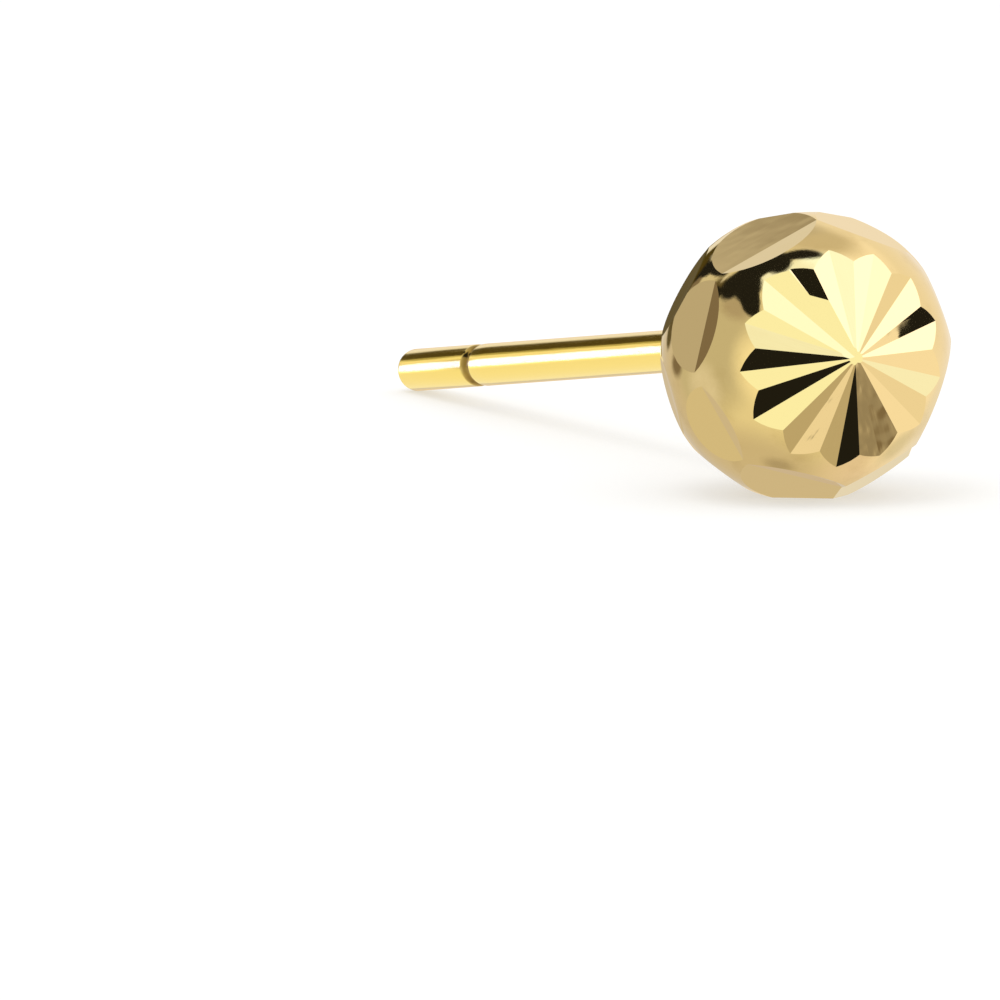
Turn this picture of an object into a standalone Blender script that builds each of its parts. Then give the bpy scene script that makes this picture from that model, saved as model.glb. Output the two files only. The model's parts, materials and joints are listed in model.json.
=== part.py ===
"""A diamond-cut ball stud earring, lying on a flat surface.

One solid of soldered gold: a ball cut with a rosette of V-grooves and two
rings of leaf-shaped V-cuts, and a straight ear post with a friction groove.
Lengths are in metres and angles in degrees. In the stud's own frame the
ball's middle is the origin, its front looks along +Z and its post runs along
-Z. The stud is then laid down, so that it rests on one level cut of the ball
and on the end of the post, with its front towards -Y and its lowest face at
Z = 0.
"""

import math
from dataclasses import dataclass

import bmesh
import bpy
from mathutils import Matrix, Vector

MM = 0.001

# The ball
BALL_RADIUS = 2.0 * MM
BALL_SEGMENTS = 72
BALL_RINGS = 40

# The ear post
POST_RADIUS = 0.295 * MM
POST_REACH = 11.05 * MM  # from the back of the ball to the post's end
POST_ROOT = 1.0 * MM  # the post starts inside the ball, this far from its middle
POST_OFFSET = 0.2 * MM  # the post is soldered this far above the ball's middle
POST_SEGMENTS = 32
GROOVE_FROM_END = 2.35 * MM
GROOVE_HALF_WIDTH = 0.15 * MM
GROOVE_DEPTH = 0.05 * MM
GROOVE_STEPS = 6
END_ROUNDING = 0.13 * MM
END_STEPS = 5

# How the stud lies: the post falls by this angle towards its end
REST_TILT = 8.1

# The axis of the cuts leans this far from the post's line, to the side and down
CUT_LEAN_SIDE = -4.8
CUT_LEAN_DOWN = -2.5

# The tiny flat in the rosette's middle, as a share of the ball's radius
TABLE_HEIGHT = 0.98
TABLE_CUTTER_SIDE = 0.4

# How far a cutting wedge runs along its edge and along its faces
WEDGE_BACK = 0.3 * BALL_RADIUS
WEDGE_REACH = 1.3 * BALL_RADIUS
WEDGE_SIDE = 2.0 * BALL_RADIUS


@dataclass(frozen=True)
class Petal:
    """A V-groove from the rosette's middle to a pointed tip on the sphere."""

    turn: float  # azimuth of the valley about the axis of the cuts
    tip: float  # angle from the axis to the tip
    left: float = 13.0  # tilt of the face on the counterclockwise side
    right: float = 13.0  # tilt of the face on the clockwise side
    start: float = 1.0  # height where the valley starts, as a share of the radius


@dataclass(frozen=True)
class Leaf:
    """A V-cut whose valley is a chord, with a wide face and a narrow bevel."""

    turn: float  # azimuth of the leaf's middle about the axis of the cuts
    valley: float  # angle from the axis to the valley's middle
    depth: float  # how far the valley's middle lies under the sphere
    wide: float  # angle from the axis to the wide face's normal
    bevel: float  # angle from the axis to the bevel's normal


# The grooves in the order they are cut, so the last one runs over the first
PETALS = (
    Petal(turn=119.3, tip=45.5, right=12.0),
    Petal(turn=93.9, tip=47.6),
    Petal(turn=68.2, tip=48.2),
    Petal(turn=43.8, tip=48.4),
    Petal(turn=17.0, tip=47.2),
    Petal(turn=346.6, tip=47.7),
    Petal(turn=319.1, tip=47.8),
    Petal(turn=290.2, tip=46.9, left=13.2, right=8.2, start=0.994),
    Petal(turn=265.4, tip=48.6),
    Petal(turn=238.6, tip=48.4),
    Petal(turn=211.3, tip=49.0),
    Petal(turn=184.7, tip=47.6),
    Petal(turn=158.6, tip=47.4),
    Petal(turn=133.1, tip=49.5, right=8.5, start=0.985),
)

# The ring of leaves round the rosette
FRONT_LEAVES = (
    Leaf(turn=115.3, valley=67.7, depth=0.158 * MM, wide=70.0, bevel=80.0),
    Leaf(turn=163.8, valley=69.4, depth=0.107 * MM, wide=71.0, bevel=83.0),
    Leaf(turn=208.3, valley=66.4, depth=0.088 * MM, wide=68.0, bevel=84.0),
    Leaf(turn=254.3, valley=66.0, depth=0.156 * MM, wide=68.0, bevel=84.0),
    Leaf(turn=296.8, valley=66.6, depth=0.166 * MM, wide=68.6, bevel=84.6),
    Leaf(turn=335.8, valley=64.0, depth=0.213 * MM, wide=69.2, bevel=85.2),
    Leaf(turn=20.8, valley=66.9, depth=0.098 * MM, wide=64.6, bevel=80.6),
    Leaf(turn=68.3, valley=68.0, depth=0.127 * MM, wide=69.0, bevel=83.0),
)

# The rear ring: turn and depth of each leaf, but for the one that the ball lies on
REAR_LEAVES = (
    (86.9, 0.172 * MM),
    (148.4, 0.118 * MM),
    (194.2, 0.075 * MM),
    (233.8, 0.062 * MM),
    (319.4, 0.104 * MM),
    (359.3, 0.107 * MM),
    (44.8, 0.107 * MM),
)
REAR_VALLEY = 110.1
REAR_WIDE = 105.5
REAR_BEVEL_TURN = 9.0  # between the normals of the wide face and the bevel
REST_LEAF_VALLEY_OFFSET = 22.0  # puts its valley past the ball, so no ridge hangs under it

GOLD_COLOUR = (0.93, 0.70, 0.34, 1.0)
GOLD_ROUGHNESS = 0.12


def axis_point(polar, turn):
    """Unit vector at an angle from the +Z axis and an azimuth about it."""
    polar, turn = math.radians(polar), math.radians(turn)
    side = math.sin(polar)
    return Vector((side * math.cos(turn), side * math.sin(turn), math.cos(polar)))


def cuts_frame():
    """Rotation that leans the axis of the cuts away from the post's line."""
    lean = Vector((
        math.tan(math.radians(CUT_LEAN_SIDE)),
        math.tan(math.radians(CUT_LEAN_DOWN)),
        1.0,
    ))
    return Vector((0.0, 0.0, 1.0)).rotation_difference(lean).to_matrix()


def rest_rotation():
    """Rotation that lays the stud down, front towards -Y and post falling."""
    return Matrix.Rotation(math.radians(90.0 - REST_TILT), 3, "X")


def rest_height():
    """Height of the ball's middle that brings the post's end to the floor."""
    tilt = math.radians(REST_TILT)
    arc_along = BALL_RADIUS + POST_REACH - END_ROUNDING
    arc_below = POST_RADIUS - END_ROUNDING - POST_OFFSET
    return arc_along * math.sin(tilt) + arc_below * math.cos(tilt) + END_ROUNDING


def rest_leaf():
    """The rear leaf whose wide face lies level on the floor."""
    to_cuts = (rest_rotation() @ cuts_frame()).inverted()
    down = to_cuts @ Vector((0.0, 0.0, -1.0))
    wide = math.degrees(math.acos(down.z))
    offset = math.radians(REST_LEAF_VALLEY_OFFSET)
    return Leaf(
        turn=math.degrees(math.atan2(down.y, down.x)),
        valley=wide + REST_LEAF_VALLEY_OFFSET,
        depth=BALL_RADIUS - rest_height() / math.cos(offset),
        wide=wide,
        bevel=wide - REAR_BEVEL_TURN,
    )


def object_from_bmesh(name, shape, parent):
    """Turn a bmesh into an object of the scene, under the given parent."""
    bmesh.ops.recalc_face_normals(shape, faces=shape.faces)
    mesh = bpy.data.meshes.new(name)
    shape.to_mesh(mesh)
    shape.free()
    made = bpy.data.objects.new(name, mesh)
    made.parent = parent
    bpy.context.scene.collection.objects.link(made)
    return made


def tool_object(name, shape, parent):
    """An object that only cuts or joins: not rendered, and shown as wire."""
    tool = object_from_bmesh(name, shape, parent)
    tool.hide_render = True
    tool.display_type = "WIRE"
    return tool


def combine(target, tool, operation):
    """Add an exact Boolean of the tool to the target's modifiers."""
    modifier = target.modifiers.new(tool.name, "BOOLEAN")
    modifier.operation = operation
    modifier.solver = "EXACT"
    modifier.object = tool


def wedge(name, edge_start, edge_end, face_a, face_b, parent):
    """Triangular prism whose sharp edge is the valley that it cuts."""
    shape = bmesh.new()
    ends = []
    for corner in (edge_start, edge_end):
        points = (corner, corner + face_a, corner + face_b)
        ends.append([shape.verts.new(point) for point in points])
    first, last = ends
    shape.faces.new(first)
    shape.faces.new(last)
    for here in range(3):
        there = (here + 1) % 3
        shape.faces.new((first[here], first[there], last[there], last[here]))
    return tool_object(name, shape, parent)


def petal_wedge(name, petal, frame, parent):
    """Wedge for one groove of the rosette."""
    start = Vector((0.0, 0.0, petal.start * BALL_RADIUS))
    along = (BALL_RADIUS * axis_point(petal.tip, petal.turn) - start).normalized()
    leftwards = axis_point(90.0, petal.turn + 90.0)
    outwards = along.cross(leftwards)
    left, right = math.radians(petal.left), math.radians(petal.right)
    face_left = math.cos(left) * leftwards + math.sin(left) * outwards
    face_right = math.sin(right) * outwards - math.cos(right) * leftwards
    return wedge(
        name,
        frame @ (start - WEDGE_BACK * along),
        frame @ (start + WEDGE_REACH * along),
        frame @ (WEDGE_SIDE * face_left),
        frame @ (WEDGE_SIDE * face_right),
        parent,
    )


def leaf_wedge(name, leaf, frame, parent):
    """Wedge for one leaf: the wide face is on the equator's side."""
    middle = (BALL_RADIUS - leaf.depth) * axis_point(leaf.valley, leaf.turn)
    along = axis_point(90.0, leaf.turn + 90.0)
    to_back = 1.0 if leaf.bevel > leaf.wide else -1.0
    wide_face = to_back * axis_point(leaf.wide + 90.0, leaf.turn)
    bevel_face = -to_back * axis_point(leaf.bevel + 90.0, leaf.turn)
    return wedge(
        name,
        frame @ (middle - WEDGE_REACH * along),
        frame @ (middle + WEDGE_REACH * along),
        frame @ (WEDGE_SIDE * wide_face),
        frame @ (WEDGE_SIDE * bevel_face),
        parent,
    )


def table_cutter(frame, parent):
    """Block that takes the rosette's middle off flat."""
    side = TABLE_CUTTER_SIDE * BALL_RADIUS
    height = TABLE_HEIGHT * BALL_RADIUS + side / 2
    place = frame.to_4x4() @ Matrix.Translation((0.0, 0.0, height))
    shape = bmesh.new()
    bmesh.ops.create_cube(shape, size=side, matrix=place)
    return tool_object("cutter_table", shape, parent)


def post_profile():
    """Distance from the ball's middle and radius, from the root to the end."""
    reach = BALL_RADIUS + POST_REACH
    points = [(POST_ROOT, POST_RADIUS)]
    for step in range(GROOVE_STEPS + 1):
        across = 2.0 * step / GROOVE_STEPS - 1.0
        dip = GROOVE_DEPTH * (1.0 + math.cos(math.pi * across)) / 2
        along = reach - GROOVE_FROM_END + across * GROOVE_HALF_WIDTH
        points.append((along, POST_RADIUS - dip))
    for step in range(END_STEPS + 1):
        angle = math.pi / 2 * step / END_STEPS
        along = reach - END_ROUNDING * (1.0 - math.sin(angle))
        points.append((along, POST_RADIUS - END_ROUNDING * (1.0 - math.cos(angle))))
    return points


def post_form(parent):
    """The ear post, turned about its own line and closed at both ends."""
    shape = bmesh.new()
    rings = []
    for along, radius in post_profile():
        ring = []
        for segment in range(POST_SEGMENTS):
            angle = 2.0 * math.pi * segment / POST_SEGMENTS
            x = radius * math.cos(angle)
            y = POST_OFFSET + radius * math.sin(angle)
            ring.append(shape.verts.new((x, y, -along)))
        rings.append(ring)
    for upper, lower in zip(rings, rings[1:]):
        for here in range(POST_SEGMENTS):
            there = (here + 1) % POST_SEGMENTS
            shape.faces.new((upper[here], upper[there], lower[there], lower[here]))
    shape.faces.new(rings[0])
    shape.faces.new(rings[-1])
    for face in shape.faces:
        face.smooth = len(face.verts) == 4
    return tool_object("ear_post_form", shape, parent)


def ball_form(parent):
    """The uncut ball."""
    shape = bmesh.new()
    bmesh.ops.create_uvsphere(
        shape,
        u_segments=BALL_SEGMENTS,
        v_segments=BALL_RINGS,
        radius=BALL_RADIUS,
    )
    for face in shape.faces:
        face.smooth = True
    return object_from_bmesh("ball_stud", shape, parent)


def gold():
    """Polished yellow gold."""
    material = bpy.data.materials.new("polished_gold")
    material.use_nodes = True
    shader = material.node_tree.nodes["Principled BSDF"]
    shader.inputs["Base Color"].default_value = GOLD_COLOUR
    shader.inputs["Metallic"].default_value = 1.0
    shader.inputs["Roughness"].default_value = GOLD_ROUGHNESS
    return material


def cut_ball(ball, parent):
    """Cut the rosette, its middle flat and both rings of leaves."""
    frame = cuts_frame()
    combine(ball, table_cutter(frame, parent), "DIFFERENCE")
    for number, petal in enumerate(PETALS):
        cutter = petal_wedge(f"cutter_petal_{number:02d}", petal, frame, parent)
        combine(ball, cutter, "DIFFERENCE")
    rear_bevel = REAR_WIDE - REAR_BEVEL_TURN
    rear_leaves = [
        Leaf(turn, REAR_VALLEY, depth, REAR_WIDE, rear_bevel)
        for turn, depth in REAR_LEAVES
    ]
    leaves = [*FRONT_LEAVES, *rear_leaves, rest_leaf()]
    for number, leaf in enumerate(leaves):
        cutter = leaf_wedge(f"cutter_leaf_{number:02d}", leaf, frame, parent)
        combine(ball, cutter, "DIFFERENCE")


def centre_on_floor(stud, holder):
    """Bring the stud's box over the origin, along X and Y."""
    bpy.context.view_layer.update()
    shown = stud.evaluated_get(bpy.context.evaluated_depsgraph_get())
    corners = [shown.matrix_world @ vertex.co for vertex in shown.data.vertices]
    for axis in (0, 1):
        low = min(corner[axis] for corner in corners)
        high = max(corner[axis] for corner in corners)
        holder.location[axis] -= (low + high) / 2


def build():
    """Make the stud and lay it down."""
    for old in list(bpy.data.objects):
        bpy.data.objects.remove(old)
    holder = bpy.data.objects.new("stud_frame", None)
    bpy.context.scene.collection.objects.link(holder)
    holder.rotation_euler = rest_rotation().to_euler()
    holder.location = (0.0, 0.0, rest_height())
    stud = ball_form(holder)
    stud.data.materials.append(gold())
    cut_ball(stud, holder)
    combine(stud, post_form(holder), "UNION")
    centre_on_floor(stud, holder)


build()
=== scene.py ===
import json
import logging
import math
from dataclasses import dataclass
from enum import Enum
from typing import Any, Iterable, Sequence

import bpy
import numpy as np
from mathutils import Matrix, Vector

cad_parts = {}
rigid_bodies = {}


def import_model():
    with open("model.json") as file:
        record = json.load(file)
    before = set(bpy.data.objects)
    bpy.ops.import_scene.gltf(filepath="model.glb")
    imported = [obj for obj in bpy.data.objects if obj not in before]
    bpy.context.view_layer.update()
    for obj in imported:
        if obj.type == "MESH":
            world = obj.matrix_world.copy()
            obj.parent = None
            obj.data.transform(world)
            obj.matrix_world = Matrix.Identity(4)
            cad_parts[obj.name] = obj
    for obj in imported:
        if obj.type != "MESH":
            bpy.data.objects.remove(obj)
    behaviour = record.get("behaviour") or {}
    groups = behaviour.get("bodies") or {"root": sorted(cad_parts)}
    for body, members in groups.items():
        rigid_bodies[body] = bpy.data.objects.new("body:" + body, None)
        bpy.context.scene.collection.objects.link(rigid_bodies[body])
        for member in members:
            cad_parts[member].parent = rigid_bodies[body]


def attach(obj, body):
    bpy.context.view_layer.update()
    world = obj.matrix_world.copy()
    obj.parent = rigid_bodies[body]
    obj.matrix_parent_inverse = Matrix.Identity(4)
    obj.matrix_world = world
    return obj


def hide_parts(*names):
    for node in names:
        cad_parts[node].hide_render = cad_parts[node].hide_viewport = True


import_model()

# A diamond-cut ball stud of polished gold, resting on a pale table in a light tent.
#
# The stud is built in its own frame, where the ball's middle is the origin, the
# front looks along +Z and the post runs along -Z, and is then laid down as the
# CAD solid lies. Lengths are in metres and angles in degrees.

LOG = logging.getLogger("ball_stud")
MM = 0.001
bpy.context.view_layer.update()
NOISE_MIDDLE = 0.5  # what a noise from 0 to 1 averages

Colour = tuple[float, float, float, float]
Triple = tuple[float, float, float]


# Working with nodes

class Value:
    """A number socket that arithmetic can be written with."""

    def __init__(self, desk: "Desk", socket: bpy.types.NodeSocket) -> None:
        """Remember the desk that the socket's node stands on."""
        self.desk = desk
        self.socket = socket

    def _sum(self, operation: str, first: Any, second: Any) -> "Value":
        """Add a Math node.

        Args:
            operation: the Math node's operation.
            first: its first value or socket.
            second: its second value or socket.

        Returns:
            The result's socket.
        """
        node = self.desk.add(
            "ShaderNodeMath", {"operation": operation}, {0: first, 1: second}
        )
        return Value(self.desk, node.outputs[0])

    def __add__(self, other: Any) -> "Value":
        """Self plus other."""
        return self._sum("ADD", self, other)

    __radd__ = __add__

    def __sub__(self, other: Any) -> "Value":
        """Self minus other."""
        return self._sum("SUBTRACT", self, other)

    def __rsub__(self, other: Any) -> "Value":
        """Other minus self."""
        return self._sum("SUBTRACT", other, self)

    def __mul__(self, other: Any) -> "Value":
        """Self times other."""
        return self._sum("MULTIPLY", self, other)

    __rmul__ = __mul__

    def __truediv__(self, other: Any) -> "Value":
        """Self over other."""
        return self._sum("DIVIDE", self, other)

    def __pow__(self, other: Any) -> "Value":
        """Self to the power of other."""
        return self._sum("POWER", self, other)

    def at_least(self, other: Any) -> "Value":
        """The larger of self and other."""
        return self._sum("MAXIMUM", self, other)

    def over(self, other: Any) -> "Value":
        """One where self is greater than other, else zero."""
        return self._sum("GREATER_THAN", self, other)


class Desk:
    """Adds nodes to one tree, of a material, the world or Geometry Nodes."""

    # A Mix node's sockets for colours, whose names its other sockets share
    MIX_FIRST, MIX_SECOND, MIX_RESULT = 6, 7, 2

    def __init__(self, tree: bpy.types.NodeTree) -> None:
        """Remember the tree."""
        self.tree = tree

    def add(
        self,
        kind: str,
        settings: dict[str, Any] | None = None,
        sockets: dict[str | int, Any] | None = None,
    ) -> bpy.types.Node:
        """Add a node, set it up and then fill its sockets.

        Args:
            kind: the node's type.
            settings: its own properties.
            sockets: a value, socket or Value for each input, or a list of sockets.

        Returns:
            The node.
        """
        node = self.tree.nodes.new(kind)
        for name, setting in (settings or {}).items():
            setattr(node, name, setting)
        for name, given in (sockets or {}).items():
            for one in given if isinstance(given, list) else [given]:
                self._fill(node.inputs[name], one)
        return node

    def value(
        self,
        kind: str,
        settings: dict[str, Any] | None = None,
        sockets: dict[str | int, Any] | None = None,
        output: str | int = 0,
    ) -> Value:
        """Add a node and return one of its outputs as a Value."""
        return Value(self, self.add(kind, settings, sockets).outputs[output])

    def parts(self, vector: bpy.types.NodeSocket) -> list[Value]:
        """A vector's three numbers."""
        split = self.add("ShaderNodeSeparateXYZ", None, {0: vector})
        return [Value(self, socket) for socket in split.outputs]

    def joined(self, *parts: Any) -> bpy.types.NodeSocket:
        """A vector of up to three numbers."""
        return self.add("ShaderNodeCombineXYZ", None, dict(enumerate(parts))).outputs[0]

    def dot(self, vector: bpy.types.NodeSocket, axis: Vector) -> Value:
        """A vector's extent along an axis."""
        return self.value(
            "ShaderNodeVectorMath", {"operation": "DOT_PRODUCT"}, {0: vector, 1: axis}, "Value"
        )

    def noise(
        self, place: Any, *, detail: float, scale: float = 1.0, roughness: float = 0.5
    ) -> Value:
        """Noise at a place, from 0 to 1."""
        return self.value(
            "ShaderNodeTexNoise",
            None,
            {"Vector": place, "Scale": scale, "Detail": detail, "Roughness": roughness},
        )

    def fade(self, given: Value, none_at: float, full_at: float) -> Value:
        """A smooth step of a value, from 0 at one number to 1 at another."""
        return self.value(
            "ShaderNodeMapRange",
            {"interpolation_type": "SMOOTHSTEP"},
            {"Value": given, "From Min": none_at, "From Max": full_at},
        )

    def mixed(self, share: Value, first: Any, second: Any) -> bpy.types.NodeSocket:
        """The first colour with a share of the second laid over it."""
        colours = {self.MIX_FIRST: first, self.MIX_SECOND: second}
        return self.add(
            "ShaderNodeMix", {"data_type": "RGBA"}, {"Factor": share, **colours}
        ).outputs[self.MIX_RESULT]

    def metal(self, colour: Any, roughness: Value, relief: Value, height: float) -> None:
        """End a material as a metal.

        Args:
            colour: its colour.
            roughness: how rough it is.
            relief: its relief.
            height: how high a relief of 1 stands.
        """
        bump = self.add("ShaderNodeBump", None, {"Height": relief, "Distance": height})
        shader = self.add(
            "ShaderNodeBsdfPrincipled",
            None,
            {
                "Base Color": colour,
                "Metallic": 1.0,
                "Roughness": roughness,
                "Normal": bump.outputs[0],
            },
        )
        self.add("ShaderNodeOutputMaterial", None, {"Surface": shader.outputs[0]})

    def moved(self, geometry: Any, how: dict[str, Any]) -> bpy.types.NodeSocket:
        """A geometry that is scaled, turned and then shifted."""
        return self.add(
            "GeometryNodeTransform", None, {"Geometry": geometry, **how}
        ).outputs[0]

    def _fill(self, socket: bpy.types.NodeSocket, given: Any) -> None:
        """Link a socket or set its value.

        Args:
            socket: the input.
            given: what it gets: a plain value, a socket or a Value.
        """
        if isinstance(given, Value):
            given = given.socket
        if isinstance(given, bpy.types.NodeSocket):
            self.tree.links.new(given, socket)
        else:
            socket.default_value = given


def cleared(owner: bpy.types.Material | bpy.types.World) -> Desk:
    """Empty the nodes of a material or the world.

    Args:
        owner: what the nodes belong to.

    Returns:
        The desk of its tree.
    """
    owner.use_nodes = True
    owner.node_tree.nodes.clear()
    return Desk(owner.node_tree)


class FormTree:
    """A Geometry Nodes tree with named inputs, which shapes a starting mesh."""

    def __init__(self, name: str) -> None:
        """Start the tree with a geometry input and a geometry output.

        Args:
            name: the tree's name.
        """
        self.tree = bpy.data.node_groups.new(name, "GeometryNodeTree")
        for way in ("INPUT", "OUTPUT"):
            self.tree.interface.new_socket(
                "Geometry", in_out=way, socket_type="NodeSocketGeometry"
            )
        self.desk = Desk(self.tree)
        self.ids: dict[str, str] = {}

    def named(self, name: str, kind: str) -> None:
        """Add a named input to the tree's interface."""
        socket = self.tree.interface.new_socket(
            name, in_out="INPUT", socket_type=f"NodeSocket{kind}"
        )
        self.ids[name] = socket.identifier

    def given(self, name: str) -> bpy.types.NodeSocket:
        """The socket that carries a named input."""
        return self.desk.add("NodeGroupInput").outputs[name]

    def close(self, geometry: bpy.types.NodeSocket) -> None:
        """End the tree: realize what is repeated, set the material and return it.

        Args:
            geometry: the finished geometry.
        """
        real = self.desk.add(
            "GeometryNodeRealizeInstances", None, {"Geometry": geometry}
        )
        dressed = self.desk.add(
            "GeometryNodeSetMaterial",
            None,
            {"Geometry": real.outputs[0], "Material": self.given("Finish")},
        )
        self.desk.add("NodeGroupOutput", None, {0: dressed.outputs[0]})

    def shape(
        self, name: str, start: bpy.types.Mesh, inputs: dict[str, Any]
    ) -> bpy.types.Mesh:
        """Run the tree on a starting mesh.

        Args:
            name: name of the resulting mesh.
            start: the mesh that the tree starts from.
            inputs: a value for each named input.

        Returns:
            The shaped mesh, with no modifier left on it.
        """
        carrier = placed(f"{name}_carrier", start)
        modifier = carrier.modifiers.new(name, "NODES")
        modifier.node_group = self.tree
        for input_name, value in inputs.items():
            modifier[self.ids[input_name]] = value
        graph = bpy.context.evaluated_depsgraph_get()
        mesh = bpy.data.meshes.new_from_object(carrier.evaluated_get(graph))
        mesh.name = name
        carrier.modifiers.remove(modifier)
        bpy.data.objects.remove(carrier)
        return mesh


def placed(name: str, data: bpy.types.ID) -> bpy.types.Object:
    """Put a mesh, a lamp or a camera into the scene.

    Args:
        name: the object's name.
        data: what the object holds.

    Returns:
        The object, at the origin.
    """
    item = bpy.data.objects.new(name, data)
    bpy.context.scene.collection.objects.link(item)
    return item


def points_mesh(
    name: str, places: Sequence[Vector], columns: dict[str, Sequence[Any]]
) -> bpy.types.Mesh:
    """Make a mesh of loose points that carry attributes for a form tree.

    Args:
        name: the mesh's name.
        places: where the points are.
        columns: numbers or vectors for each point, by attribute name.

    Returns:
        The mesh.
    """
    mesh = bpy.data.meshes.new(name)
    mesh.from_pydata([tuple(place) for place in places], [], [])
    for column, values in columns.items():
        several = len(np.shape(values)) > 1
        kind = "FLOAT_VECTOR" if several else "FLOAT"
        attribute = mesh.attributes.new(column, kind, "POINT")
        flat = np.array([tuple(v) if several else v for v in values], np.float32)
        attribute.data.foreach_set("vector" if several else "value", flat.ravel())
    return mesh


# How the stud lies

@dataclass(frozen=True)
class RestingPlace:
    """Where the ball's middle is, and how far the post falls towards its end."""

    tilt: float = 8.1
    ball_middle: Triple = (0.01149 * MM, -5.50731 * MM, 1.91579 * MM)

    def turn(self) -> Matrix:
        """Rotation from the stud's frame to the world."""
        return Matrix.Rotation(math.radians(90.0 - self.tilt), 4, "X")

    def lay_down(self, mesh: bpy.types.Mesh) -> None:
        """Move a mesh from the stud's frame to where the stud rests."""
        mesh.transform(Matrix.Translation(Vector(self.ball_middle)) @ self.turn())


# The cuts

def axis_point(polar: float, turn: float) -> Vector:
    """Find a point of the unit sphere.

    Args:
        polar: its angle from the +Z axis.
        turn: its azimuth about that axis.

    Returns:
        The point, which is also the unit vector to it.
    """
    polar, turn = math.radians(polar), math.radians(turn)
    side = math.sin(polar)
    return Vector((side * math.cos(turn), side * math.sin(turn), math.cos(polar)))


@dataclass(frozen=True)
class Groove:
    """The straight V that one stroke of the cutter leaves, cut out as a wedge."""

    corner: Vector  # a point of the valley
    along: Vector  # unit vector along the valley
    flanks: tuple[Vector, Vector]  # unit vectors along the two faces, away from the valley
    half_length: float  # of the wedge
    side: float  # how far the wedge reaches along each flank
    chatter: float  # how wavy the stroke left its faces
    sways: tuple[Triple, Triple]  # how each face strays from flat

    def normals(self) -> list[Vector]:
        """Find which way the two faces look.

        Returns:
            Their outward unit normals.
        """
        found = []
        for flank, other in (self.flanks, self.flanks[::-1]):
            normal = self.along.cross(flank).normalized()
            found.append(normal if normal.dot(other) > 0.0 else -normal)
        return found


# A face that is dead flat: no slope across, no slope along, no bow along
TRUE: Triple = (0.0, 0.0, 0.0)

# Sizes of the wedges, as shares of the ball's radius
PETAL_MIDDLE = 0.4  # from the valley's start to the wedge's middle
PETAL_HALF_LENGTH = 0.5
PETAL_SIDE = 0.55
LEAF_HALF_LENGTH = 0.6
LEAF_SIDE = 0.9


@dataclass(frozen=True)
class Petal:
    """A V-groove from the rosette's middle to a pointed tip on the sphere."""

    turn: float  # azimuth of the valley about the axis of the cuts
    tip: float  # angle from the axis to the tip
    left: float = 13.0  # tilt of the face on the counterclockwise side
    right: float = 13.0  # tilt of the face on the clockwise side
    start: float = 1.0  # height where the valley starts, as a share of the radius
    chatter: float = 0.15
    sways: tuple[Triple, Triple] = (TRUE, TRUE)

    def groove(self, radius: float, lean: Matrix) -> Groove:
        """Work out the petal's groove.

        Args:
            radius: the ball's radius.
            lean: rotation from the axis of the cuts to the stud's frame.

        Returns:
            The groove, in the stud's frame.
        """
        start = Vector((0.0, 0.0, self.start * radius))
        along = (radius * axis_point(self.tip, self.turn) - start).normalized()
        leftwards = axis_point(90.0, self.turn + 90.0)
        outwards = along.cross(leftwards)
        left, right = math.radians(self.left), math.radians(self.right)
        flanks = (
            lean @ (math.cos(left) * leftwards + math.sin(left) * outwards),
            lean @ (math.sin(right) * outwards - math.cos(right) * leftwards),
        )
        return Groove(
            lean @ (start + PETAL_MIDDLE * radius * along),
            lean @ along,
            flanks,
            PETAL_HALF_LENGTH * radius,
            PETAL_SIDE * radius,
            self.chatter,
            self.sways,
        )


@dataclass(frozen=True)
class Leaf:
    """A V-cut whose valley is a chord, with a wide face and a narrow bevel."""

    turn: float  # azimuth of the leaf's middle about the axis of the cuts
    valley: float  # angle from the axis to the valley's middle
    depth: float  # how far the valley's middle lies under the sphere
    wide: float  # angle from the axis to the wide face's normal
    bevel: float  # angle from the axis to the bevel's normal
    chatter: float = 0.15
    sways: tuple[Triple, Triple] = (TRUE, TRUE)

    def groove(self, radius: float, lean: Matrix) -> Groove:
        """Work out the leaf's groove.

        Args:
            radius: the ball's radius.
            lean: rotation from the axis of the cuts to the stud's frame.

        Returns:
            The groove, in the stud's frame.
        """
        to_back = 1.0 if self.bevel > self.wide else -1.0
        flanks = (
            lean @ (to_back * axis_point(self.wide + 90.0, self.turn)),
            lean @ (-to_back * axis_point(self.bevel + 90.0, self.turn)),
        )
        return Groove(
            lean @ ((radius - self.depth) * axis_point(self.valley, self.turn)),
            lean @ axis_point(90.0, self.turn + 90.0),
            flanks,
            LEAF_HALF_LENGTH * radius,
            LEAF_SIDE * radius,
            self.chatter,
            self.sways,
        )


PETALS = (
    Petal(turn=119.3, tip=45.5, right=12.0),
    Petal(turn=93.9, tip=47.6),
    Petal(turn=68.2, tip=48.2),
    Petal(turn=43.8, tip=48.4, sways=((0.038, 0.001, 0.004), TRUE)),
    Petal(turn=17.0, tip=47.2, chatter=0.5, sways=((0.028, -0.015, 0.045), TRUE)),
    Petal(turn=346.6, tip=47.7),
    Petal(turn=319.1, tip=47.8, sways=(TRUE, (-0.013, 0.018, 0.0))),
    Petal(
        turn=290.2,
        tip=46.9,
        left=13.2,
        right=8.2,
        start=0.994,
        chatter=1.6,
        sways=((0.0, 0.0, 0.03), (0.0, 0.0, 0.02)),
    ),
    Petal(turn=265.4, tip=48.6, chatter=0.2, sways=(TRUE, (-0.009, 0.012, 0.0))),
    Petal(turn=238.6, tip=48.4, chatter=0.7),
    Petal(turn=211.3, tip=49.0),
    Petal(turn=184.7, tip=47.6),
    Petal(turn=158.6, tip=47.4),
    Petal(turn=133.1, tip=49.5, right=8.5, start=0.985),
)

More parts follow.
